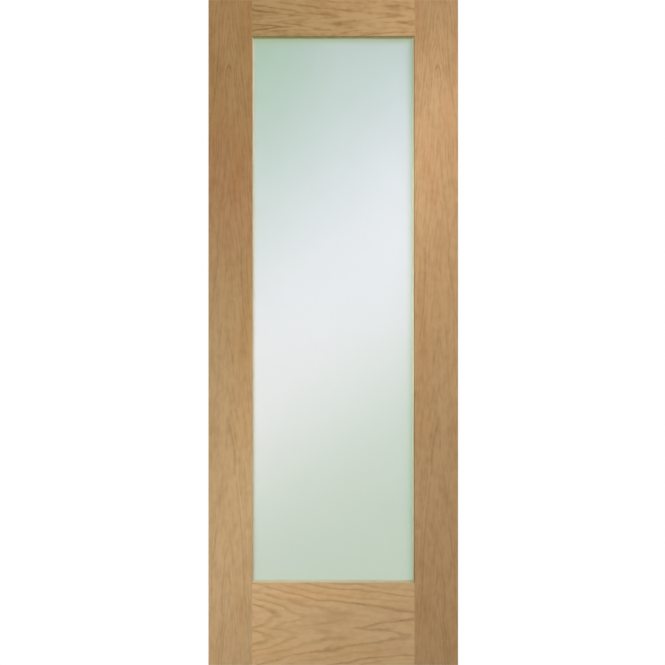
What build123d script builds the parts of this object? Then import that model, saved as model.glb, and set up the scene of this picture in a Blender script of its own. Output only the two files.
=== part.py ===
from build123d import *
import os

# A glazed interior door leaf: two stiles and two rails around one tall frosted pane.
# Each stile and rail is a timber core with an oak lipping on both long edges and an oak veneer on both faces.
# The pane stands between strips of glazing tape, held front and back by mitred beads with a splayed face.
#
# Frame: X runs from the hinge edge to the lock edge, Y from the front face to the back face, and Z up.
# The origin is on the hinge edge, at mid-thickness and at the foot of the leaf. Sizes are in millimetres.

# The leaf
DOOR_WIDTH = 762.0
DOOR_HEIGHT = 2032.0
DOOR_THICKNESS = 35.0

# The frame members, measured across their grain
STILE_WIDTH = 133.0
TOP_RAIL_HEIGHT = 111.0
BOTTOM_RAIL_HEIGHT = 251.0

# The layers of a member, and the easing of the corners round the outside of the leaf
VENEER_THICKNESS = 0.6
OUTER_LIPPING = 10.0
INNER_LIPPING = 6.0
EASED_CORNER = 0.4
EASED_SHARE_OF_VENEER = 0.8

# The pane, its clearance in the opening and the ground corners of its edges
GLASS_THICKNESS = 4.0
GLASS_CLEARANCE = 2.0
GLASS_ARRIS = 0.5

# The glazing tape, which ends short of the bead's sight line
TAPE_THICKNESS = 1.5
TAPE_SETBACK = 1.0

# The beads: their cover over the pane, their step behind the face, and the flats on either side of the splay
BEAD_COVER = 6.0
BEAD_SETBACK = 2.0
BEAD_NOSE = 1.0
BEAD_LIP = 2.0

# Two places nearer than this are the same place
SAME_PLACE = 1e-6

# The opening in the frame
OPENING_WIDTH = DOOR_WIDTH - 2 * STILE_WIDTH
OPENING_HEIGHT = DOOR_HEIGHT - TOP_RAIL_HEIGHT - BOTTOM_RAIL_HEIGHT
OPENING_LEFT = STILE_WIDTH
OPENING_RIGHT = DOOR_WIDTH - STILE_WIDTH
OPENING_BOTTOM = BOTTOM_RAIL_HEIGHT
OPENING_TOP = DOOR_HEIGHT - TOP_RAIL_HEIGHT

# Depths of the layers, from the middle of the leaf outwards
GLASS_DEPTH = GLASS_THICKNESS / 2
TAPE_DEPTH = GLASS_DEPTH + TAPE_THICKNESS
FACE_DEPTH = DOOR_THICKNESS / 2
CORE_DEPTH = FACE_DEPTH - VENEER_THICKNESS
BEAD_DEPTH = FACE_DEPTH - BEAD_SETBACK


def upright_strip(across_from, across_to, depth_from, depth_to, length):
    """A straight strip along Z, with its section spanning X across the member and Y through the leaf."""
    section = Rectangle(across_to - across_from, depth_to - depth_from, align=(Align.MIN, Align.MIN))
    return extrude(Pos(across_from, depth_from) * section, amount=length)


def on_leaf_outline(edge):
    """Whether an edge of a face lies along the outside of the leaf."""
    middle = edge.center()
    return min(middle.X, DOOR_WIDTH - middle.X, middle.Z, DOOR_HEIGHT - middle.Z) < SAME_PLACE


def ease_outside_corners(front_veneer):
    """Take the sharp corner off a front veneer where it runs round the outside of the leaf."""
    show_face = front_veneer.faces().sort_by(Axis.Y)[0]
    easing = min(EASED_CORNER, EASED_SHARE_OF_VENEER * VENEER_THICKNESS)
    return chamfer(show_face.edges().filter_by(on_leaf_outline), easing)


def member_layers(width, length, place):
    """The layers of one stile or rail: made upright from X = 0, its outer edge, and then put in its place."""
    inner_from = width - INNER_LIPPING
    front_veneer = ease_outside_corners(place * upright_strip(0, width, -FACE_DEPTH, -CORE_DEPTH, length))
    return {
        "outer_lipping": place * upright_strip(0, OUTER_LIPPING, -CORE_DEPTH, CORE_DEPTH, length),
        "core": place * upright_strip(OUTER_LIPPING, inner_from, -CORE_DEPTH, CORE_DEPTH, length),
        "inner_lipping": place * upright_strip(inner_from, width, -CORE_DEPTH, CORE_DEPTH, length),
        "front_veneer": front_veneer,
        "back_veneer": mirror(front_veneer, about=Plane.XZ),
    }


def stiles_and_rails():
    """Full-height stiles with the rails between them, each turned so that its outer edge faces out."""
    members = {
        "hinge_stile": (STILE_WIDTH, DOOR_HEIGHT, Location((0, 0, 0))),
        "top_rail": (TOP_RAIL_HEIGHT, OPENING_WIDTH, Location((OPENING_LEFT, 0, DOOR_HEIGHT), (0, 90, 0))),
        "lock_stile": (STILE_WIDTH, DOOR_HEIGHT, Location((DOOR_WIDTH, 0, DOOR_HEIGHT), (0, 180, 0))),
        "bottom_rail": (BOTTOM_RAIL_HEIGHT, OPENING_WIDTH, Location((OPENING_RIGHT, 0, 0), (0, 270, 0))),
    }
    return {
        f"{member}_{layer}": piece
        for member, (width, length, place) in members.items()
        for layer, piece in member_layers(width, length, place).items()
    }


def glass_pane():
    """The pane, smaller than the opening by its clearance all round, with ground corners."""
    outline = Rectangle(OPENING_WIDTH - 2 * GLASS_CLEARANCE, OPENING_HEIGHT - 2 * GLASS_CLEARANCE)
    pane = extrude(Plane.XZ * outline, amount=GLASS_DEPTH, both=True)
    through_the_leaf = pane.faces().sort_by(Axis.Y)
    pane = chamfer(through_the_leaf[0].edges() + through_the_leaf[-1].edges(), GLASS_ARRIS)
    return Pos((OPENING_LEFT + OPENING_RIGHT) / 2, 0, (OPENING_BOTTOM + OPENING_TOP) / 2) * pane


def tape_section():
    """A flat strip on the front margin of the pane, with Y through the leaf and Z into the opening."""
    tape_width = BEAD_COVER - GLASS_CLEARANCE - TAPE_SETBACK
    section = Rectangle(TAPE_THICKNESS, tape_width, align=(Align.MIN, Align.MIN))
    return Plane.YZ * Pos(-TAPE_DEPTH, GLASS_CLEARANCE) * section


def bead_section():
    """A front bead, flat against the frame and the tape, with a splay from its nose down to its lip."""
    outline = Polyline(
        (-TAPE_DEPTH, 0),
        (-BEAD_DEPTH, 0),
        (-BEAD_DEPTH, BEAD_NOSE),
        (-TAPE_DEPTH - BEAD_LIP, BEAD_COVER),
        (-TAPE_DEPTH, BEAD_COVER),
        close=True,
    )
    return Plane.YZ * make_face(outline)


def mitred_stick(section, length):
    """A section carried along X from corner to corner of the opening, with each end cut at 45 degrees."""
    stick = extrude(section, amount=length)
    for corner, towards_middle in ((0, 1), (length, -1)):
        mitre = Plane((corner, 0, 0), z_dir=(towards_middle, 0, -1))
        stick = split(stick, bisect_by=mitre, keep=Keep.TOP)
    return stick


def round_the_opening(name, section):
    """Front and back sticks on the four sides of the opening, each starting where the last one ends."""
    sides = {
        "bottom": (OPENING_WIDTH, Location((OPENING_LEFT, 0, OPENING_BOTTOM))),
        "lock_side": (OPENING_HEIGHT, Location((OPENING_RIGHT, 0, OPENING_BOTTOM), (0, 270, 0))),
        "top": (OPENING_WIDTH, Location((OPENING_RIGHT, 0, OPENING_TOP), (0, 180, 0))),
        "hinge_side": (OPENING_HEIGHT, Location((OPENING_LEFT, 0, OPENING_TOP), (0, 90, 0))),
    }
    pieces = {}
    for side, (length, place) in sides.items():
        front = place * mitred_stick(section, length)
        pieces[f"front_{name}_{side}"] = front
        pieces[f"back_{name}_{side}"] = mirror(front, about=Plane.XZ)
    return pieces


def door_leaf():
    """Every piece of the leaf, by name."""
    return {
        **stiles_and_rails(),
        "glass_pane": glass_pane(),
        **round_the_opening("tape", tape_section()),
        **round_the_opening("bead", bead_section()),
    }


os.makedirs("parts", exist_ok=True)
for name, piece in door_leaf().items():
    piece.label = name
    export_step(piece, f"parts/{name}.step")
print(f"Opening {OPENING_WIDTH:.0f} x {OPENING_HEIGHT:.0f} mm, beads {BEAD_DEPTH - TAPE_DEPTH:.1f} mm deep")
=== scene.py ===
# %% [markdown]
# # A glazed oak door leaf
#
# The leaf is a frame of two stiles and two rails, faced with oak veneer, round one tall frosted pane.
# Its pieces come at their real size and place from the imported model, so this lesson never moves them.
# What it adds is how they look: the oak, the pane, the beads' soft corners, the light and the camera.
# Places are in metres in the model's own frame: X from the hinge edge, Y to the back and Z from the foot up.

# %% Load the leaf
import math
from dataclasses import dataclass, replace
from typing import NamedTuple

import bpy
import numpy as np
from mathutils import Matrix, Vector


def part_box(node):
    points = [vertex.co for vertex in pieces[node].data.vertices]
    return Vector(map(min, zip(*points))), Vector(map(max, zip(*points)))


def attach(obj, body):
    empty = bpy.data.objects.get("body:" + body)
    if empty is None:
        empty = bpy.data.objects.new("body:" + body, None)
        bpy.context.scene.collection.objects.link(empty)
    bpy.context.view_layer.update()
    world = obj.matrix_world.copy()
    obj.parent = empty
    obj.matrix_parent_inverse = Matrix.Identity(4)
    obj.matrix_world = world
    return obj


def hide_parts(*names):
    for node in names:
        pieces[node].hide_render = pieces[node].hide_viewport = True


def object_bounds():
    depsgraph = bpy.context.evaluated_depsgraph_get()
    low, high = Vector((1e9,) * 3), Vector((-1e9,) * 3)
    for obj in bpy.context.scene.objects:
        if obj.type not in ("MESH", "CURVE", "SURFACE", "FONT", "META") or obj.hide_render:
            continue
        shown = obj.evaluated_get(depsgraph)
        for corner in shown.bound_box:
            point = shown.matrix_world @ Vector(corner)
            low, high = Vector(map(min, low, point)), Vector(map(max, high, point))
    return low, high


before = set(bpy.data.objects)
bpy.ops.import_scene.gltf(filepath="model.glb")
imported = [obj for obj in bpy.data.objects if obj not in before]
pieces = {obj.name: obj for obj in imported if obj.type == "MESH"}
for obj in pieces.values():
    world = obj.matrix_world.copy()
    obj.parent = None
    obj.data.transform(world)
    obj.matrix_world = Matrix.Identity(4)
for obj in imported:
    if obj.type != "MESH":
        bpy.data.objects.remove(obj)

solid_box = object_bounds()
leaf_low, leaf_high = solid_box
leaf_middle = (leaf_low + leaf_high) / 2
leaf_width, leaf_thickness, leaf_height = leaf_high - leaf_low
print(f"{len(pieces)} pieces, {leaf_width:.3f} x {leaf_thickness:.3f} x {leaf_height:.3f} m")

# %% Measure the opening
opening_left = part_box("hinge_stile_front_veneer")[1].x
opening_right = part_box("lock_stile_front_veneer")[0].x
opening_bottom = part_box("bottom_rail_front_veneer")[1].z
opening_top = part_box("top_rail_front_veneer")[0].z
opening_width = opening_right - opening_left
opening_height = opening_top - opening_bottom
print(f"opening {opening_width:.3f} x {opening_height:.3f} m")

# %% [markdown]
# ## Shader maths as plain arithmetic
#
# A finish such as oak is a formula: rings, fibres and pores are added, multiplied and compared.
# Wiring every Math node by hand hides that formula, so a small class wraps a socket and lets Python's own
# operators add the nodes. A second class holds the node tree, and its one method adds any other node.
# A third adds what every finish asks for: a place, noise, a mix of colours, a relief and a closing shader.

# %% A value that changes over a surface
MATH_INPUTS = ("Value", "Value_001", "Value_002")


class Value:
    """A number that changes over a surface: a node's output that Python's operators can reckon with."""

    def __init__(self, nodes, socket):
        self.nodes = nodes
        self.socket = socket

    def math(self, operation, *operands):
        """The Math node with this operation, on the operands in order."""
        return self.nodes.node("Math", {"operation": operation}, dict(zip(MATH_INPUTS, operands)))["Value"]

    def __add__(self, other):
        return self.math("ADD", self, other)

    def __radd__(self, other):
        return self.math("ADD", other, self)

    def __sub__(self, other):
        return self.math("SUBTRACT", self, other)

    def __rsub__(self, other):
        return self.math("SUBTRACT", other, self)

    def __mul__(self, other):
        return self.math("MULTIPLY", self, other)

    def __rmul__(self, other):
        return self.math("MULTIPLY", other, self)

    def __truediv__(self, other):
        return self.math("DIVIDE", self, other)

    def __pow__(self, exponent):
        return self.math("POWER", self, exponent)

    def size(self):
        """The value without its sign."""
        return self.math("ABSOLUTE", self)

    def sqrt(self):
        """The square root."""
        return self.math("SQRT", self)

    def fraction(self):
        """What is left after the whole number, from 0 up to 1."""
        return self.math("FRACT", self)

    def whole(self):
        """The whole number below."""
        return self.math("FLOOR", self)

    def soft_least(self, other, rounding):
        """The smaller of two values, with the crossing rounded over."""
        return self.math("SMOOTH_MIN", self, other, rounding)

    def step(self, low, high):
        """0 below low, 1 above high, and a smooth rise between them."""
        ends = {"Value": self, "From Min": low, "From Max": high}
        return self.nodes.node("MapRange", {"interpolation_type": "SMOOTHSTEP"}, ends)["Result"]


print("Value: a socket with operators")

# %% A sheet of nodes


def find_socket(sockets, key):
    """A socket by its identifier, or else by the name that the node shows."""
    by_identifier = {socket.identifier: socket for socket in sockets}
    return by_identifier[key] if key in by_identifier else sockets[key]


class Nodes:
    """An empty node tree to fill, of a material or of the world."""

    def __init__(self, owner):
        owner.use_nodes = True
        self.tree = owner.node_tree
        self.tree.nodes.clear()

    def node(self, kind, settings, sockets):
        """Add one node, its settings first and then its sockets' values or links, and give its outputs."""
        made = self.tree.nodes.new("ShaderNode" + kind)
        for name, setting in settings.items():
            setattr(made, name, setting)
        for key, value in sockets.items():
            socket = find_socket(made.inputs, key)
            if isinstance(value, Value):
                self.tree.links.new(value.socket, socket)
            else:
                socket.default_value = value
        return {socket.identifier: Value(self, socket) for socket in made.outputs}


print("Nodes: one method adds any node")

# %% A finish in the making


class Finish(Nodes):
    """A material in the making."""

    def __init__(self, name):
        self.material = bpy.data.materials.new(name)
        super().__init__(self.material)

    def place(self):
        """The point on the piece, as X, Y and Z in metres."""
        point = self.node("TexCoord", {}, {})["Object"]
        parts = self.node("SeparateXYZ", {}, {"Vector": point})
        return parts["X"], parts["Y"], parts["Z"]

    def noise(self, x, y, z, detail=2.0):
        """Cloudy noise from 0 to 1, about 0.5 on the whole, that changes about once a unit."""
        point = self.node("CombineXYZ", {}, {"X": x, "Y": y, "Z": z})["Vector"]
        return self.node("TexNoise", {}, {"Vector": point, "Scale": 1.0, "Detail": detail})["Fac"]

    def mix(self, first, second, share, way="MIX"):
        """Two colours, from the first at share 0 to the second at share 1."""
        colours = {"Factor_Float": share, "A_Color": first, "B_Color": second}
        return self.node("Mix", {"data_type": "RGBA", "blend_type": way}, colours)["Result_Color"]

    def relief(self, height, depth, strength):
        """A normal that follows a height from 0 to 1, which stands for a depth in metres."""
        return self.node("Bump", {}, {"Strength": strength, "Distance": depth, "Height": height})["Normal"]

    def surface(self, **sockets):
        """Close the material with one Principled shader."""
        keyed = {name.replace("_", " "): value for name, value in sockets.items()}
        shader = self.node("BsdfPrincipled", {}, keyed)["BSDF"]
        self.node("OutputMaterial", {}, {"Surface": shader})
        return self.material


print("Finish: place, noise, mix, relief and surface")

# %% [markdown]
# ## Oak
#
# Oak shows its years. In spring it grows a row of wide pores, which cut as a dark, open line, and then
# a denser, paler wood. A flat slice through the tapering log cuts those rings as nested arches.
# An image would do for one view, but it has to be fitted to every piece. A formula in the piece's own
# metres runs through the wood instead, so edges and ends agree with the faces.
#
# The rings are surfaces round one or more hearts. With `along` the grain, `across` it and `through` the
# board, a point's age is `sqrt((across - heart)^2 + (through + depth)^2) + slope * along`, the least over
# the hearts. Noise makes the rings stray and sets them at uneven distances. Beyond a board's tip the slope
# eases off, so that the arches draw out, and a curl pushes the rings aside within a small oval.

# %% How one board is cut
# A tip further along than any board reaches
NEVER = 10.0


class Heart(NamedTuple):
    """A heart of the log: its place across the board, and its depth before the middle plane of the leaf.

    The head start is added to the age of its rings.
    """

    across: float
    depth: float
    head_start: float = 0.0


class Curl(NamedTuple):
    """A small swirl in the grain: its place along and across the board, and how far it pushes the rings."""

    along: float
    across: float
    push: float


class Blush(NamedTuple):
    """A pinker stretch of a board: its middle along the grain, and half its length."""

    along: float
    half_length: float


@dataclass(frozen=True)
class Figure:
    """How one board is cut, with lengths and places in metres and colours in linear light.

    The grain is the axis that it runs along, the slope is the log's taper, the ring is one year's growth,
    and wander scales how far the rings stray. Lines and strands say how strongly the rings and the fibres
    show. The colour holds its start for a share of the board and then drifts to its end. A mirrored board
    is the twin of one on the other side of the leaf, as when two sheets are opened like a book.
    """

    grain: str
    hearts: tuple
    slope: float
    ring: float
    wander: float
    lines: float
    strands: float
    start: tuple
    end: tuple
    seed: float
    tip: float = NEVER
    curls: tuple = ()
    mirrored: bool = False
    holds: float = 0.0
    blush: Blush | None = None


def board_place(finish, grain, mirrored=False):
    """The point on a board, or on its mirror image in the leaf: along the grain, across and through."""
    x, y, z = finish.place()
    if mirrored:
        x = leaf_low.x + leaf_high.x - x
    return (z, x, y) if grain == "Z" else (x, z, y)


print("Figure: one board's hearts, slope, rings and colours")

# %% Marks in the wood


@dataclass(frozen=True)
class Mark:
    """A kind of mark in the wood: about how long and broad it is, in metres, and a seed of its own.

    The edge says where in the noise the mark starts and is full. Without one, the noise stays as it is.
    """

    length: float
    breadth: float
    seed: float
    edge: tuple = ()
    detail: float = 2.0


def marks(finish, figure, point, mark):
    """One kind of mark all over a board, from 0 to 1: noise that is drawn out along the grain."""
    along, across, through = point
    layer = through / mark.breadth + (figure.seed + mark.seed)
    noise = finish.noise(along / mark.length, across / mark.breadth, layer, mark.detail)
    return noise.step(*mark.edge) if mark.edge else noise


print("marks: noise drawn out along the grain")

# %% How the rings stray
SWAY = Mark(length=0.24, breadth=0.10, seed=0)
WOBBLE = Mark(length=0.10, breadth=0.040, seed=1)
RIPPLE = Mark(length=0.050, breadth=0.018, seed=2)
JAG = Mark(length=0.012, breadth=0.0040, seed=3)
SWAY_REACH = 0.024
WOBBLE_REACH = 0.0090
RIPPLE_REACH = 0.0040
JAG_REACH = 0.0011
CURL_LENGTH = 0.075
CURL_BREADTH = 0.024


def stray(finish, figure, point, mark, reach):
    """How far the rings stray at a point: up to this reach to either side, times the board's wander."""
    return (marks(finish, figure, point, mark) - 0.5) * (2 * reach * figure.wander)


def swirl(point, curl):
    """1 in the middle of a curl, falling to 0 at the edge of its oval."""
    along, across, through = point
    apart = ((along - curl.along) / CURL_LENGTH) ** 2.0 + ((across - curl.across) / CURL_BREADTH) ** 2.0
    return 1.0 - apart.sqrt().step(0.0, 1.0)


print("stray and swirl: what keeps rings from being perfect")

# %% The rings
HEART_ROUNDING = 0.018
TIP_ROUNDING = 0.10
CALM_SHARE = 0.40
SPREAD = 1.3
SPREAD_RATE = 0.55


def ring_age(finish, figure, point):
    """How many rings lie between a point and the hearts, and how far the point is inside a curl."""
    along, across, through = point
    sway = stray(finish, figure, point, SWAY, SWAY_REACH)
    wobble = stray(finish, figure, point, WOBBLE, WOBBLE_REACH)
    strayed = across + sway + wobble
    age = None
    for heart in figure.hearts:
        reach = ((strayed - heart.across) ** 2.0 + (through + heart.depth) ** 2.0).sqrt() + heart.head_start
        age = reach if age is None else age.soft_least(reach, HEART_ROUNDING)
    curled = 0.0
    for curl in figure.curls:
        inside = swirl(point, curl)
        age = age + inside * curl.push
        curled = inside + curled
    ripple = stray(finish, figure, point, RIPPLE, RIPPLE_REACH)
    jag = stray(finish, figure, point, JAG, JAG_REACH)
    rise = along.soft_least((along - figure.tip) * CALM_SHARE + figure.tip, TIP_ROUNDING)
    even = (age + rise * figure.slope + ripple + jag) / figure.ring
    return even + finish.noise(even * SPREAD_RATE, figure.seed, 0.0, detail=0.0) * SPREAD, curled


print("ring_age: a field of rings round the hearts")

# %% The rows of spring wood
FADE = Mark(length=0.150, breadth=0.030, seed=4, edge=(0.34, 0.62))
DASH = Mark(length=0.034, breadth=0.011, seed=11, edge=(0.56, 0.76))
FADE_SHARE = 0.45
DASH_SHARE = 0.55
FAINTEST_ROW = 0.45
YEAR_STEP = 0.73
YEAR_EDGE = (0.30, 0.70)
FAINTEST_YEAR = 0.20
SPRING_PEAK = 0.22
SPRING_END = 0.62
CURL_DEPTH = 2.2


def spring_rows(finish, figure, point):
    """How dark the spring wood is: strong in some years and in curls, fading and broken along each row."""
    age, curled = ring_age(finish, figure, point)
    growth = age.fraction()
    row = growth.step(0.0, SPRING_PEAK) * (1.0 - growth.step(SPRING_PEAK, SPRING_END))
    year = finish.noise(age.whole() * YEAR_STEP, figure.seed, 0.0, detail=0.0).step(*YEAR_EDGE)
    good_year = FAINTEST_YEAR + year * (1.0 - FAINTEST_YEAR)
    fade = marks(finish, figure, point, FADE)
    dash = marks(finish, figure, point, DASH)
    unbroken = FAINTEST_ROW + fade * FADE_SHARE + dash * DASH_SHARE
    return row * good_year * unbroken * (curled * CURL_DEPTH + 1.0)


print("spring_rows: the dark line of each year")

# %% The colour between the rows
PATCH = Mark(length=0.40, breadth=0.090, seed=9, detail=1.0)
PATCH_DRIFT = 0.6
RED_EDGE = (0.45, 0.75)
RED_SHARE = 0.6
RED_HEART = (1.0, 0.92, 0.84, 1.0)
BLUSH_TINT = (1.0, 0.91, 0.93, 1.0)


def ground_colour(finish, figure, point, low, high, drift_across):
    """A board's own colour, which drifts from low to high and is redder in patches and in a blush."""
    along, across, through = point
    way = across if drift_across else along
    patch = marks(finish, figure, point, PATCH)
    drift = ((way - low) / (high - low) + (patch - 0.5) * PATCH_DRIFT).step(figure.holds, 1.0)
    wood = finish.mix((*figure.start, 1.0), (*figure.end, 1.0), drift)
    wood = finish.mix(wood, RED_HEART, patch.step(*RED_EDGE) * RED_SHARE, "MULTIPLY")
    if figure.blush:
        from_middle = ((along - figure.blush.along) / figure.blush.half_length).size()
        wood = finish.mix(wood, BLUSH_TINT, 1.0 - from_middle.step(0.0, 1.0), "MULTIPLY")
    return wood


print("ground_colour: a drift, red patches and a blush")

# %% The finished wood
MOTTLE = Mark(length=0.022, breadth=0.0130, seed=5, detail=1.0)
THREAD = Mark(length=0.060, breadth=0.0120, seed=10, detail=1.0)
PORE = Mark(length=0.0090, breadth=0.00070, seed=6, edge=(0.56, 0.70))
FLECK = Mark(length=0.020, breadth=0.0050, seed=7, edge=(0.60, 0.76))
CLOUD = Mark(length=0.11, breadth=0.030, seed=8, detail=1.0)
MOTTLE_SHARE = 0.45
CLOUD_SHARE = 0.4
FLECK_PALING = 0.08
LEAST_SHADE = 0.09
PORE_SHADE = 0.10
SPRING_PORE_SHADE = 0.5
PORE_HOLLOW = 0.8
SPRING_HOLLOW = 0.2
SPRING_WOOD = (0.54, 0.42, 0.26, 1.0)
LACQUER_ROUGHNESS = 0.44
PORE_ROUGHNESS = 0.20
STRAND_ROUGHNESS = 0.08


def oak(name, figure, low, high, drift_across=False):
    """Oak under satin lacquer, cut with one figure.

    Its colour drifts between two places, low and high, along its grain or across it.
    """
    finish = Finish(name)
    point = board_place(finish, figure.grain, figure.mirrored)
    spring = spring_rows(finish, figure, point)
    mottle = marks(finish, figure, point, MOTTLE)
    thread = marks(finish, figure, point, THREAD)
    strand = mottle * MOTTLE_SHARE + thread * (1.0 - MOTTLE_SHARE)
    pore = marks(finish, figure, point, PORE)
    fleck = marks(finish, figure, point, FLECK)
    cloud = marks(finish, figure, point, CLOUD)
    strand_shade = (strand - 0.5) * figure.strands
    cloud_shade = (cloud - 0.5) * (CLOUD_SHARE * figure.strands)
    shade = spring * figure.lines + strand_shade + cloud_shade - fleck * FLECK_PALING + LEAST_SHADE
    pore_shade = pore * (spring * SPRING_PORE_SHADE + PORE_SHADE)
    wood = ground_colour(finish, figure, point, low, high, drift_across)
    wood = finish.mix(wood, SPRING_WOOD, shade, "MULTIPLY")
    wood = finish.mix(wood, SPRING_WOOD, pore_shade, "MULTIPLY")
    height = 1.0 - pore * PORE_HOLLOW - spring * SPRING_HOLLOW
    return finish.surface(
        Base_Color=wood,
        Roughness=LACQUER_ROUGHNESS + pore * PORE_ROUGHNESS + strand * STRAND_ROUGHNESS,
        Normal=finish.relief(height, depth=0.0003, strength=0.3),
        Specular_IOR_Level=0.35,
    )


print("oak: rings, fibres, pores and flecks under lacquer")

# %% [markdown]
# ## The veneers
#
# Each veneer is one sheet. The bottom rail shows two stacks of arches lying on their side, which calm down
# beyond their tips, and the top rail shows finer flames. The stiles are two leaves of one slice, opened
# like a book, so one mirrors the other: nearly straight, with a slim arch and one small curl.
# One oak for all eight would look like printed paper, so the sheets differ in colour too, and each drifts
# from end to end. One stile holds its colour for a while first, and a stretch of it has a pink blush.

# %% Lay the veneers of one face


def dress(node, material):
    """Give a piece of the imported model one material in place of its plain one."""
    for slot in pieces[node].material_slots:
        slot.material = material


def grain_span(node, grain):
    """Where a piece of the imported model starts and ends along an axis."""
    low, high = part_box(node)
    axis = "XYZ".index(grain)
    return low[axis], high[axis]


def lay_veneers(face, figures):
    """Dress the veneers of one face in oak, each with its own figure."""
    for member, figure in figures.items():
        sheet = f"{member}_{face}_veneer"
        dress(sheet, oak(f"oak_{sheet}", figure, *grain_span(sheet, figure.grain)))
    print(f"{len(figures)} veneers on the {face}")


print("lay_veneers: one figure for each sheet")

# %% Cut the stiles of the front
FRONT_STILE = Figure(
    grain="Z",
    hearts=(Heart(across=0.060, depth=0.025),),
    slope=0.090,
    ring=0.0095,
    wander=0.7,
    lines=0.26,
    strands=0.95,
    start=(0.67, 0.433, 0.206),
    end=(0.56, 0.319, 0.119),
    seed=4.6,
    curls=(Curl(along=1.795, across=0.060, push=-0.010),),
    holds=0.22,
    blush=Blush(along=1.46, half_length=0.34),
)
FRONT_TWIN = replace(
    FRONT_STILE,
    mirrored=True,
    start=(0.705, 0.432, 0.196),
    end=(0.560, 0.333, 0.150),
    holds=0.0,
    blush=None,
)
print("front stiles: one figure and its twin")

# %% Cut the rails of the front
FRONT_TOP_RAIL = Figure(
    grain="X",
    hearts=(
        Heart(across=opening_top + 0.064, depth=0.02),
        Heart(across=opening_top + 0.024, depth=0.02, head_start=0.004),
    ),
    slope=0.095,
    ring=0.016,
    wander=0.8,
    lines=0.75,
    strands=1.60,
    start=(0.625, 0.394, 0.165),
    end=(0.655, 0.412, 0.182),
    seed=62.1,
)
FRONT_BOTTOM_RAIL = Figure(
    grain="X",
    hearts=(Heart(across=0.153, depth=0.04), Heart(across=0.088, depth=0.04, head_start=0.004)),
    slope=0.22,
    ring=0.019,
    wander=0.9,
    lines=0.46,
    strands=0.75,
    start=(0.815, 0.530, 0.260),
    end=(0.92, 0.606, 0.297),
    seed=12.2,
    tip=opening_left + 0.207,
)
FRONT_FIGURES = {
    "hinge_stile": FRONT_STILE,
    "lock_stile": FRONT_TWIN,
    "top_rail": FRONT_TOP_RAIL,
    "bottom_rail": FRONT_BOTTOM_RAIL,
}
lay_veneers("front", FRONT_FIGURES)

# %% Cut the veneers of the back
BACK_STILE = Figure(
    grain="Z",
    hearts=(Heart(across=0.075, depth=0.03),),
    slope=0.080,
    ring=0.0095,
    wander=0.7,
    lines=0.26,
    strands=0.95,
    start=(0.60, 0.37, 0.155),
    end=(0.60, 0.38, 0.17),
    seed=13.3,
    curls=(Curl(along=0.620, across=0.070, push=-0.010),),
)
BACK_TOP_RAIL = Figure(
    grain="X",
    hearts=(Heart(across=opening_top + 0.054, depth=0.03),),
    slope=0.120,
    ring=0.018,
    wander=0.9,
    lines=0.70,
    strands=1.50,
    start=(0.64, 0.41, 0.185),
    end=(0.60, 0.38, 0.17),
    seed=19.6,
)
BACK_BOTTOM_RAIL = replace(
    FRONT_BOTTOM_RAIL,
    hearts=(Heart(across=0.135, depth=0.04), Heart(across=0.060, depth=0.04, head_start=0.005)),
    start=(0.70, 0.45, 0.21),
    end=(0.68, 0.44, 0.20),
    seed=23.8,
    tip=opening_left + 0.287,
)
BACK_FIGURES = {
    "hinge_stile": BACK_STILE,
    "lock_stile": replace(BACK_STILE, mirrored=True),
    "top_rail": BACK_TOP_RAIL,
    "bottom_rail": BACK_BOTTOM_RAIL,
}
lay_veneers("back", BACK_FIGURES)

# %% [markdown]
# ## The lippings
#
# A lipping is a strip of solid oak glued to the long edge of a core, so that the edge can be planed and
# screwed. It is sawn straight from the log, so its rings run as even lines along it and end as short bars
# on its ends. A heart far to one side gives that with the same formula, so no second wood is needed.

# %% Lip the edges
FAR_HEART = Heart(across=-0.60, depth=0.30)
LIPPING_LINES = 0.45
LIPPING_TONE = (0.62, 0.40, 0.19)
MEMBER_GRAINS = {"hinge_stile": "Z", "lock_stile": "Z", "top_rail": "X", "bottom_rail": "X"}


def straight_oak(grain, lines, start, end, seed):
    """How straight-grained solid oak is cut, for strips that lie along one axis."""
    return Figure(
        grain=grain,
        hearts=(FAR_HEART,),
        slope=0.004,
        ring=0.0036,
        wander=0.30,
        lines=lines,
        strands=0.60,
        start=start,
        end=end,
        seed=seed,
    )


upright_cut = straight_oak("Z", LIPPING_LINES, LIPPING_TONE, LIPPING_TONE, seed=29.1)
level_cut = straight_oak("X", LIPPING_LINES, LIPPING_TONE, LIPPING_TONE, seed=31.7)
lipping_oak = {
    "Z": oak("oak_lipping_upright", upright_cut, leaf_low.z, leaf_high.z),
    "X": oak("oak_lipping_level", level_cut, leaf_low.x, leaf_high.x),
}
for member, grain in MEMBER_GRAINS.items():
    dress(f"{member}_outer_lipping", lipping_oak[grain])
    dress(f"{member}_inner_lipping", lipping_oak[grain])
print(f"{2 * len(MEMBER_GRAINS)} lippings")

# %% [markdown]
# ## The cores
#
# Behind the veneer a member is glued up from softwood staves. They show only where the stiles are sawn off,
# at the top and the foot of the leaf: a row of small blocks, each with its own rings, and dark glue lines
# between. Modelling the staves would add dozens of solids that never part, so the number of the stave,
# counted across the leaf, draws a fresh heart for each block in one formula.

# %% Cut the staves
STAVE_WIDTH = 0.039
STAVE_STEP = 1.37
ACROSS_SPREAD = 0.16
ACROSS_SEED = 4.2
THROUGH_SPREAD = 0.20
THROUGH_SEED = 9.6
SOFTWOOD_RING = 0.0026
KINK = 0.0016
KINK_BREADTH = 0.012
KINK_LENGTH = 0.30
LATE_POWER = 2.5


def stave_draw(finish, stave, seed):
    """A number from -0.5 to 0.5 that each stave draws for itself."""
    return finish.noise(stave * STAVE_STEP, seed, 0.0, detail=0.0) - 0.5


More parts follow.
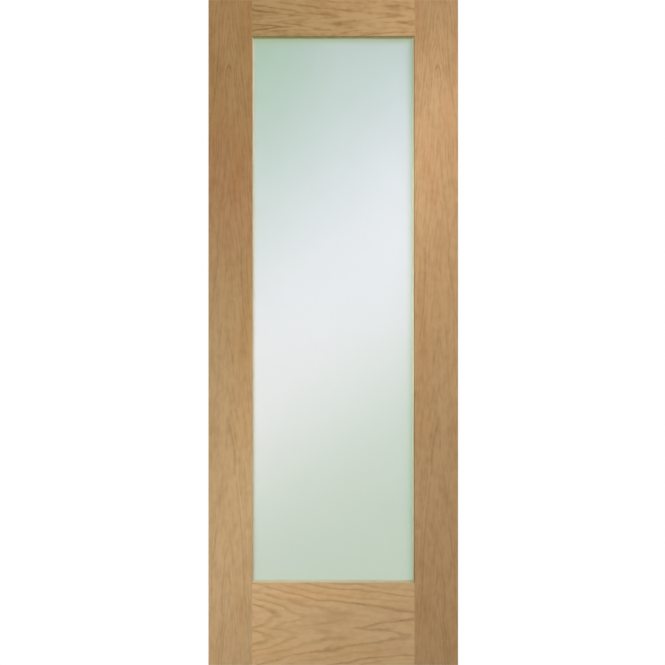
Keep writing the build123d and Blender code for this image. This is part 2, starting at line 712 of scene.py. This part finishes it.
def late_wood(finish, point, stave, inside):
    """How far the ring has turned from early to late wood, round the heart that a stave draws."""
    along, across, through = point
    kink = finish.noise(across / KINK_BREADTH, through / KINK_BREADTH, along / KINK_LENGTH) * KINK
    heart_across = inside + stave_draw(finish, stave, ACROSS_SEED) * ACROSS_SPREAD
    heart_through = through + stave_draw(finish, stave, THROUGH_SEED) * THROUGH_SPREAD
    from_heart = (heart_across ** 2.0 + heart_through ** 2.0).sqrt()
    return ((from_heart + kink) / SOFTWOOD_RING).fraction() ** LATE_POWER


print("late_wood: the rings of a block sawn from anywhere in the log")

# %% Glue up the staves
EARLY_SOFTWOOD = (0.72, 0.53, 0.30, 1.0)
LATE_SOFTWOOD = (0.50, 0.31, 0.14, 1.0)
GLUE = (0.26, 0.17, 0.09, 1.0)
GLUE_LINE = 0.0004
GLUE_SHARE = 0.8
GLUE_HOLLOW = 0.5
LATE_SHARE = 0.65
TONE_LENGTH = 0.6
TONE_SEED = 2.8
TONE_SHARE = 0.5
SAW_PITCH = 0.0012
SAW_LENGTH = 0.030
SAW_LEVEL = 0.35
SAW_SHARE = 0.35
SAWN_ROUGHNESS = 0.72
SAW_MARK_ROUGHNESS = 0.15


def staves(name, grain):
    """Softwood staves: rings round a heart that each stave draws for itself, saw marks and glue lines."""
    finish = Finish(name)
    point = board_place(finish, grain)
    along, across, through = point
    stave = (across / STAVE_WIDTH).whole()
    inside = across - (stave + 0.5) * STAVE_WIDTH
    late = late_wood(finish, point, stave, inside)
    tone = finish.noise(stave * STAVE_STEP, TONE_SEED, along / TONE_LENGTH, detail=1.0) - 0.5
    saw_marks = finish.noise(across / SAW_PITCH, through / SAW_LENGTH, along / SAW_PITCH)
    joint = inside.size().step(STAVE_WIDTH / 2 - 2 * GLUE_LINE, STAVE_WIDTH / 2 - GLUE_LINE)
    wood = finish.mix(EARLY_SOFTWOOD, LATE_SOFTWOOD, late * LATE_SHARE + tone * TONE_SHARE)
    wood = finish.mix(wood, LATE_SOFTWOOD, (saw_marks - SAW_LEVEL) * SAW_SHARE)
    wood = finish.mix(wood, GLUE, joint * GLUE_SHARE)
    return finish.surface(
        Base_Color=wood,
        Roughness=SAWN_ROUGHNESS + saw_marks * SAW_MARK_ROUGHNESS,
        Normal=finish.relief(saw_marks - joint * GLUE_HOLLOW, depth=0.0004, strength=0.35),
        Specular_IOR_Level=0.25,
    )


softwood = {"Z": staves("softwood_upright", "Z"), "X": staves("softwood_level", "X")}
for member, grain in MEMBER_GRAINS.items():
    dress(f"{member}_core", softwood[grain])
print(f"{len(MEMBER_GRAINS)} cores of {STAVE_WIDTH * 1000:.0f} mm staves")

# %% [markdown]
# ## The beads
#
# Eight thin sticks of pale oak hold the pane, four on each face, mitred where they meet.
# The solids have their splayed section with hard corners, but a moulded stick comes off the cutter with
# soft ones, and those catch the light. A Bevel modifier would round the mitres too, so each stick is made
# anew: one rounded profile, carried from corner to corner of the opening, with its ends cut on the mitre.

# %% Round the profile
BEAD_NOSE = 0.0010
BEAD_LIP = 0.0020
BEAD_EASING = 0.0004
CURVE_POINTS = 5
bead_low, bead_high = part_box("front_bead_bottom")
bead_cover = bead_high.z - bead_low.z
bead_face = leaf_middle.y - bead_low.y
bead_seat = leaf_middle.y - bead_high.y


def bead_profile():
    """A closed loop round a bead's section, in (reach into the opening, depth from the middle of the leaf).

    A corner P becomes the curve (1 - u)^2 A + 2 u (1 - u) P + u^2 B for u from 0 to 1,
    where A and B lie on the two sides that meet in P, one easing away from it.
    """
    corners = np.array(
        [
            (0, bead_seat),
            (0, bead_face),
            (BEAD_NOSE, bead_face),
            (bead_cover, bead_seat + BEAD_LIP),
            (bead_cover, bead_seat),
        ]
    )
    back_along = np.roll(corners, 1, axis=0) - corners
    on_along = np.roll(corners, -1, axis=0) - corners
    before = corners + BEAD_EASING * back_along / np.linalg.norm(back_along, axis=1, keepdims=True)
    after = corners + BEAD_EASING * on_along / np.linalg.norm(on_along, axis=1, keepdims=True)
    u = np.linspace(0, 1, CURVE_POINTS)[None, :, None]
    curves = (1 - u) ** 2 * before[:, None] + 2 * u * (1 - u) * corners[:, None] + u**2 * after[:, None]
    return curves.reshape(-1, 2)


profile = bead_profile()
print(f"bead {bead_cover * 1000:.1f} mm over the pane and {(bead_face - bead_seat) * 1000:.1f} mm deep")

# %% Carry it along one side
SMOOTH_ANGLE = math.radians(40)


def add_piece(name, points, faces, material):
    """A new object from points and faces, smooth except across sharp edges."""
    mesh = bpy.data.meshes.new(name)
    mesh.from_pydata(points.tolist(), [], faces)
    mesh.shade_smooth()
    mesh.set_sharp_from_angle(angle=SMOOTH_ANGLE)
    mesh.materials.append(material)
    piece = bpy.data.objects.new(name, mesh)
    bpy.context.scene.collection.objects.link(piece)
    return piece


class Side(NamedTuple):
    """One side of the opening: its first corner, the ways along it and into the opening, and its length.

    The last two are the axis that its bead's grain follows, and that grain's seed.
    """

    x: float
    z: float
    along: np.ndarray
    inward: np.ndarray
    length: float
    grain: str
    seed: float


def mitred_stick(name, side, facing, material):
    """The profile carried from one corner of the opening to the next, mitred at both ends.

    A point at reach s and depth d starts at corner + (along + inward) s and ends at
    corner + along (length - s) + inward s. Both lie at facing times d through the leaf.
    """
    corner = np.array((side.x, leaf_middle.y, side.z))
    loop = profile if facing > 0 else profile[::-1]
    reach = loop[:, :1]
    outward = np.array((0.0, facing, 0.0)) * loop[:, 1:]
    first = corner + (side.along + side.inward) * reach + outward
    last = corner + side.along * (side.length - reach) + side.inward * reach + outward
    here = np.arange(len(loop))
    ahead = np.roll(here, -1)
    walls = np.stack((here, ahead, ahead + len(loop), here + len(loop)), axis=1)
    ends = [here[::-1].tolist(), (here + len(loop)).tolist()]
    return add_piece(name, np.concatenate((first, last)), walls.tolist() + ends, material)


print("mitred_stick: one profile, two mitres")

# %% [markdown]
# ## The oak of the beads
#
# The beads are straight oak, as the lippings are. On the front each side has a tone of its own, set for
# how the light falls on that side: lit and shaded copies of one oak, which is painted light and shade.
# Each pales from the joint with the frame to the lip beside the pane. That is painted shade in the joint
# and painted light from the pane on the lip, and at the lock side the joint is a dark line, the painted
# shadow of the frame's edge. Thin strips laid on the sticks would show that too, but the oak's own formula
# already has a drift between two colours. Here it runs across the grain. The beads of the back are one
# plain pale oak, with the same drift from joint to lip.

# %% Name the sides
RIGHT = np.array((1.0, 0.0, 0.0))
UP = np.array((0.0, 0.0, 1.0))
FACES = {"front": -1, "back": 1}
SIDES = {
    "bottom": Side(opening_left, opening_bottom, RIGHT, UP, opening_width, grain="X", seed=41.9),
    "lock_side": Side(opening_right, opening_bottom, UP, -RIGHT, opening_height, grain="Z", seed=43.1),
    "top": Side(opening_right, opening_top, -RIGHT, -UP, opening_width, grain="X", seed=47.7),
    "hinge_side": Side(opening_left, opening_top, -UP, RIGHT, opening_height, grain="Z", seed=37.3),
}
print(f"{len(FACES) * len(SIDES)} sides to bead")

# %% Choose the tones
# Each pair is the tone at the joint and the tone at the lip: painted shade at the joint, painted light on
# the lip. On the front the sides are lit and shaded copies of one oak, and the lock side's dark joint is a
# painted shadow of the frame's edge.
BACK_STICK_TONES = ((0.56, 0.40, 0.20), (0.76, 0.60, 0.36))
LIT_AND_SHADED_STICK_TONES = {
    "front": {
        "bottom": ((0.80, 0.69, 0.42), (0.90, 0.79, 0.51)),
        "lock_side": ((0.17, 0.145, 0.08), (0.94, 0.92, 0.64)),
        "top": ((0.84, 0.73, 0.36), (0.95, 0.88, 0.42)),
        "hinge_side": ((0.53, 0.46, 0.32), (0.92, 0.83, 0.62)),
    },
    "back": dict.fromkeys(SIDES, BACK_STICK_TONES),
}
STICK_LINES = 0.20
PALE_SHARE = 0.75


def bead_oak(name, side, joint_tone, lip_tone):
    """Straight oak that pales from the joint with the frame to the lip beside the pane: painted shade in the
    joint, painted light on the lip.
    """
    joint = side.x if side.grain == "Z" else side.z
    lip = joint + float(side.inward.sum()) * bead_cover * PALE_SHARE
    cut = straight_oak(side.grain, STICK_LINES, joint_tone, lip_tone, side.seed)
    return oak(name, cut, joint, lip, drift_across=True)


print("bead_oak: a drift from the joint to the lip")

# %% Make the eight sticks
sticks = []
for face, facing in FACES.items():
    for side_name, side in SIDES.items():
        stick_oak = bead_oak(f"oak_{face}_bead_{side_name}", side, *LIT_AND_SHADED_STICK_TONES[face][side_name])
        stick = mitred_stick(f"{face}_stick_{side_name}", side, facing, stick_oak)
        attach(stick, "root")
        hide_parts(f"{face}_bead_{side_name}")
        sticks.append(stick)
print(f"{len(sticks)} sticks, {opening_width:.3f} m and {opening_height:.3f} m long")

# %% [markdown]
# ## The pane
#
# The glass is etched with acid, so it passes light but no picture: white where the light behind it is
# strong, and faintly green, as float glass is. Its colour also holds painted light and shade: bluer
# towards the head for a cool light from above, and a darker green painted shade in the upper corner at
# the hinge side. Its margins are painted too: a narrow yellow gleam at the hinge side and the foot,
# painted light that the oak throws on it, and wider green painted shadows at the lock side and under the
# head, where the frame keeps the light off. Tracing that light between the beads takes long and stays
# noisy, so each margin is a distance to one side of the opening.
# One Principled shader with a rough transmission gives the etching.

# %% Paint light and shade into the glass
# Painted light and shade: the head colour is bluer than the foot for a cool light from above, the corner
# colour is a painted shade, the gleam is painted light from the oak, and the two shades are painted shadows
# of the frame.
GLASS_FOOT = (0.815, 0.925, 0.795, 1.0)
GLASS_HEAD = (0.800, 0.930, 0.880, 1.0)
GLASS_CORNER_SHADE = (0.690, 0.870, 0.730, 1.0)
GLASS_SIDE_SHADE = (0.700, 0.885, 0.680, 1.0)
GLASS_HEAD_SHADE = (0.735, 0.870, 0.590, 1.0)
GLASS_GLEAM = (0.850, 0.890, 0.700, 1.0)
GLEAM_MARGIN = 0.007
HEAD_MARGIN = 0.024
SIDE_MARGIN = 0.021
UNDER_BEAD = 0.001
CORNER_REACH = 0.32
CORNER_DROP = 0.4


def clear_of(distance, margin):
    """0 under the bead, rising to 1 at the end of the margin beside it."""
    return distance.step(bead_cover - UNDER_BEAD, bead_cover + margin)


def glass_colour(finish, x, z):
    """Float glass with painted light and shade: bluer towards the head, a green painted shade in one corner,
    a painted gleam at two margins and painted shadows at the other two.
    """
    beside_lock = clear_of(opening_right - x, SIDE_MARGIN)
    below_head = clear_of(opening_top - z, HEAD_MARGIN)
    clear_of_gleam = clear_of(x - opening_left, GLEAM_MARGIN) * clear_of(z - opening_bottom, GLEAM_MARGIN)
    from_corner = ((x - opening_left) ** 2.0 + (opening_top - z) ** 2.0 * CORNER_DROP).sqrt()
    # Bluer towards the head: painted cool light.
    glass = finish.mix(GLASS_FOOT, GLASS_HEAD, z.step(opening_bottom, opening_top))
    # Darker and greener in the upper corner at the hinge side: painted shade.
    glass = finish.mix(GLASS_CORNER_SHADE, glass, from_corner.step(0.0, CORNER_REACH))
    # The gleam is painted light, and the two shades after it are the frame's painted shadows.
    glass = finish.mix(GLASS_GLEAM, glass, clear_of_gleam)
    glass = finish.mix(GLASS_SIDE_SHADE, glass, beside_lock)
    return finish.mix(GLASS_HEAD_SHADE, glass, below_head)


print("glass_colour: a green float glass with four margins")

# %% Etch the pane
FROST_PATCH = 0.16
ETCH_GRAIN = 0.0009
ETCHED_ROUGHNESS = 0.66
FROST_ROUGHNESS = 0.08


def etched_glass(name):
    """Frosted float glass with painted light and shade at its margins and in one corner, an etched grain and
    slightly uneven frosting.
    """
    finish = Finish(name)
    x, y, z = finish.place()
    frosting = finish.noise(x / FROST_PATCH, y, z / FROST_PATCH)
    grain = finish.noise(x / ETCH_GRAIN, y / ETCH_GRAIN, z / ETCH_GRAIN)
    return finish.surface(
        Base_Color=glass_colour(finish, x, z),
        Roughness=ETCHED_ROUGHNESS + frosting * FROST_ROUGHNESS,
        Normal=finish.relief(grain, depth=0.0001, strength=0.15),
        IOR=1.5,
        Transmission_Weight=0.85,
        Specular_IOR_Level=0.5,
    )


dress("glass_pane", etched_glass("etched_glass"))
print("pane etched")

# %% [markdown]
# ## The glazing tape
#
# Between the pane and each bead runs a strip of white foam that takes up the play.
# Only its edge shows, as a pale line under the bead's lip. Foam is a mass of tiny cells, so a fine noise
# makes both the speckle and the relief.

# %% Lay the tape
FOAM = (0.74, 0.74, 0.71, 1.0)
FOAM_CELL = (0.52, 0.52, 0.50, 1.0)
CELL_SIZE = 0.0005
CELL_EDGE = (0.50, 0.72)
FOAM_ROUGHNESS = 0.80
CELL_ROUGHNESS = 0.15


def closed_cell_foam(name):
    """Pale foam, speckled and dented by its cells."""
    finish = Finish(name)
    x, y, z = finish.place()
    cells = finish.noise(x / CELL_SIZE, y / CELL_SIZE, z / CELL_SIZE)
    return finish.surface(
        Base_Color=finish.mix(FOAM, FOAM_CELL, cells.step(*CELL_EDGE)),
        Roughness=FOAM_ROUGHNESS + cells * CELL_ROUGHNESS,
        Normal=finish.relief(cells, depth=0.0002, strength=0.4),
    )


foam = closed_cell_foam("glazing_foam")
for face in FACES:
    for side_name in SIDES:
        dress(f"{face}_tape_{side_name}", foam)
print(f"{len(FACES) * len(SIDES)} strips of tape")

# %% [markdown]
# ## The studio
#
# The leaf stands on a white sheet before a white ground. The sheet glows as bright as the ground, so that
# no line shows between them, and only the camera sees it, because a glowing floor would light the foot of
# the leaf. The world does the same: the camera sees pure white, and the leaf gets a soft share of it.

# %% Lay the floor
WHITE = (1.0, 1.0, 1.0, 1.0)
FLOOR_DARK = (0.03, 0.03, 0.03, 1.0)
FLOOR_PALE = (0.05, 0.05, 0.05, 1.0)
FLOOR_FLECK = 0.05
FLOOR_GLOW = 0.985
FLOOR_LEFT, FLOOR_RIGHT = -2.0, 2.8
FLOOR_FRONT, FLOOR_BACK = -2.0, 1.4
FLOOR_OUTLINE = (
    (FLOOR_LEFT, FLOOR_FRONT),
    (FLOOR_RIGHT, FLOOR_FRONT),
    (FLOOR_RIGHT, FLOOR_BACK),
    (FLOOR_LEFT, FLOOR_BACK),
)


def glowing_sheet(name):
    """A white sheet lit from below, with a faint fleck. It takes up little of the lamps' light."""
    finish = Finish(name)
    x, y, z = finish.place()
    fleck = finish.noise(x / FLOOR_FLECK, y / FLOOR_FLECK, z)
    return finish.surface(
        Base_Color=finish.mix(FLOOR_DARK, FLOOR_PALE, fleck),
        Roughness=0.8,
        Specular_IOR_Level=0.0,
        Emission_Color=WHITE,
        Emission_Strength=FLOOR_GLOW,
    )


floor_corners = np.array([(x, y, leaf_low.z) for x, y in FLOOR_OUTLINE])
floor = add_piece("floor", floor_corners, [range(len(floor_corners))], glowing_sheet("floor_sheet"))
for ray in ("diffuse", "glossy", "transmission", "shadow"):
    setattr(floor, f"visible_{ray}", False)
print("floor laid")

# %% Light the world
AMBIENT = 0.18
world = bpy.data.worlds.new("studio")
bpy.context.scene.world = world
sky = Nodes(world)
seen = sky.node("Background", {}, {"Color": WHITE, "Strength": 1.0})["Background"]
felt = sky.node("Background", {}, {"Color": WHITE, "Strength": AMBIENT})["Background"]
camera_ray = sky.node("LightPath", {}, {})["Is Camera Ray"]
both = sky.node("MixShader", {}, {"Fac": camera_ray, "Shader": felt, "Shader_001": seen})["Shader"]
sky.node("OutputWorld", {}, {"Surface": both})
print(f"white ground, ambient light {AMBIENT}")

# %% [markdown]
# ## The lamps
#
# Six panels face the leaf. A key above and beyond the lock side throws the frame's shadow on the pane, and
# a wide fill stands in front. A small rim lamp beside the hinge edge picks out the beads at the lock side,
# brightest at mid-height, and one panel is for the hinge edge, which the key can't reach.
# Behind the leaf one panel shines through the pane, and another lights the oak of the back.
#
# Two long strips lie on the slant. A narrow one in front brightens the oak in a band from the foot of one
# stile to the head of the other, and one behind makes the white band on the pane.

# %% Build a softbox


def softbox(name, low_end, high_end, aim, width, watts, tint=(1, 1, 1)):
    """A rectangular lamp whose long axis runs between two points, turned to face a third."""
    lamp = bpy.data.lights.new(name, "AREA")
    lamp.shape = "RECTANGLE"
    lamp.size = width
    lamp.size_y = (high_end - low_end).length
    lamp.energy = watts
    lamp.color = tint
    centre = (low_end + high_end) / 2
    along = (high_end - low_end).normalized()
    away = centre - aim
    away = (away - along * away.dot(along)).normalized()
    aside = along.cross(away)
    stand = bpy.data.objects.new(name, lamp)
    bpy.context.scene.collection.objects.link(stand)
    turn = Matrix((aside, along, away)).transposed().to_4x4()
    stand.matrix_world = Matrix.Translation(centre) @ turn
    stand.visible_camera = False
    return stand


def panel(name, place, width, height, watts):
    """An upright softbox, placed from the middle of the leaf and facing it."""
    centre = leaf_middle + Vector(place)
    half = Vector((0, 0, height / 2))
    return softbox(name, centre - half, centre + half, leaf_middle, width, watts)


print("softbox and panel: lamps by their ends or their centre")

# %% Hang the panels
KEY_DISTANCE = 4.5
KEY_DIRECTION = Vector((1.4, -1.0, 1.45)).normalized()
key = panel("key", KEY_DIRECTION * KEY_DISTANCE, width=1.5, height=1.5, watts=120.0)
fill = panel("fill", (0.0, -3.0, 0.2), width=4.0, height=3.0, watts=24.6)
rim = panel("rim", (-0.9, -0.7, 0.15), width=0.5, height=0.5, watts=10.0)
edge_lamp = panel("side", (-3.0, 0.0, 0.3), width=1.0, height=2.0, watts=36.0)
back = panel("back", (0.0, 1.6, -0.12), width=3.0, height=3.0, watts=19.0)
back_fill = panel("back_fill", (0.8, 3.0, 0.6), width=3.0, height=3.0, watts=42.0)
panels = [key, fill, rim, edge_lamp, back, back_fill]
print(f"{len(panels)} panels hung")

# %% Hang the strips
BAND_FOOT = Vector((-0.235, -0.480, -0.35))
BAND_HEAD = Vector((0.760, -0.270, 1.85))
STRAIGHT_BACK = Vector((0, 1, 0))
GLOW_PLACE = Vector((0, 0.75, 0.1))
GLOW_REACH = Vector((0.782, 0, 0.623))
GLOW_TINT = (1.0, 0.555, 0.985)
band_low = leaf_low + BAND_FOOT
band_high = leaf_low + BAND_HEAD
band_aim = (band_low + band_high) / 2 + STRAIGHT_BACK
band = softbox("band", band_low, band_high, band_aim, width=0.12, watts=2.0)
glow_low = leaf_middle + GLOW_PLACE - GLOW_REACH
glow_high = leaf_middle + GLOW_PLACE + GLOW_REACH
glow = softbox("glow", glow_low, glow_high, leaf_middle, width=0.6, watts=2.2, tint=GLOW_TINT)
strips = [band, glow]
print(f"{len(strips)} strips hung")

# %% [markdown]
# ## What each lamp reaches
#
# In a real studio, flags keep a lamp's light off what it shouldn't reach. They also throw shadows, so here
# light linking does it: a lamp names the pieces that it reaches, or the pieces that it leaves out.
# The fill leaves out the beads, so that the key models them, bright where they face it and dark where they
# don't. The band keeps to the oak, and leaves out the front bead under the head, which it would burn out.

# %% Link the lamps


def reach_only(lamp, kept):
    """Let a lamp light only these pieces."""
    lamp.light_linking.receiver_collection = bpy.data.collections.new(f"{lamp.name}_reaches")
    for piece in kept:
        lamp.light_linking.receiver_collection.objects.link(piece)


def leave_out(lamp, spared):
    """Let a lamp light everything but these pieces."""
    reach_only(lamp, spared)
    for member in lamp.light_linking.receiver_collection.collection_objects:
        member.light_linking.link_state = "EXCLUDE"


pane = pieces["glass_pane"]
leave_out(fill, sticks)
reach_only(rim, [stick for stick in sticks if "lock_side" in stick.name])
reach_only(edge_lamp, [pieces["hinge_stile_outer_lipping"]])
leave_out(back_fill, [pane])
leave_out(band, [pane, bpy.data.objects["front_stick_top"]])
reach_only(glow, [pane])
linked = [lamp for lamp in panels + strips if lamp.light_linking.receiver_collection]
print(f"{len(linked)} of {len(panels + strips)} lamps linked")

# %% [markdown]
# ## The camera
#
# The picture is taken square on, from far enough that the rails stay level and the edges plumb, and a hair
# to one side, because the leaf isn't quite in the middle of it.
# The leaf fills the picture's height, so the lens follows from the distance and the leaf's own height.

# %% Aim the camera
PHOTO_SIDE = 665
LEAF_PIXELS = 665.6
CAMERA_DISTANCE = 8.0
CAMERA_ASIDE = -0.0024
SENSOR = 36.0
lens = bpy.data.cameras.new("camera")
lens.sensor_width = SENSOR
half_view = leaf_height * PHOTO_SIDE / LEAF_PIXELS / 2
lens.lens = SENSOR / 2 * CAMERA_DISTANCE / half_view
camera = bpy.data.objects.new("camera", lens)
bpy.context.scene.collection.objects.link(camera)
camera.location = (leaf_middle.x + CAMERA_ASIDE, leaf_low.y - CAMERA_DISTANCE, leaf_middle.z)
camera.rotation_euler = (math.radians(90), 0, 0)
bpy.context.scene.camera = camera
bpy.context.scene.view_settings.view_transform = "Standard"
print(f"lens {lens.lens:.1f} mm at {CAMERA_DISTANCE} m")

# %% [markdown]
# ## The end
#
# Dressing the leaf must not change its size.

# %% End
print("scene dressed")
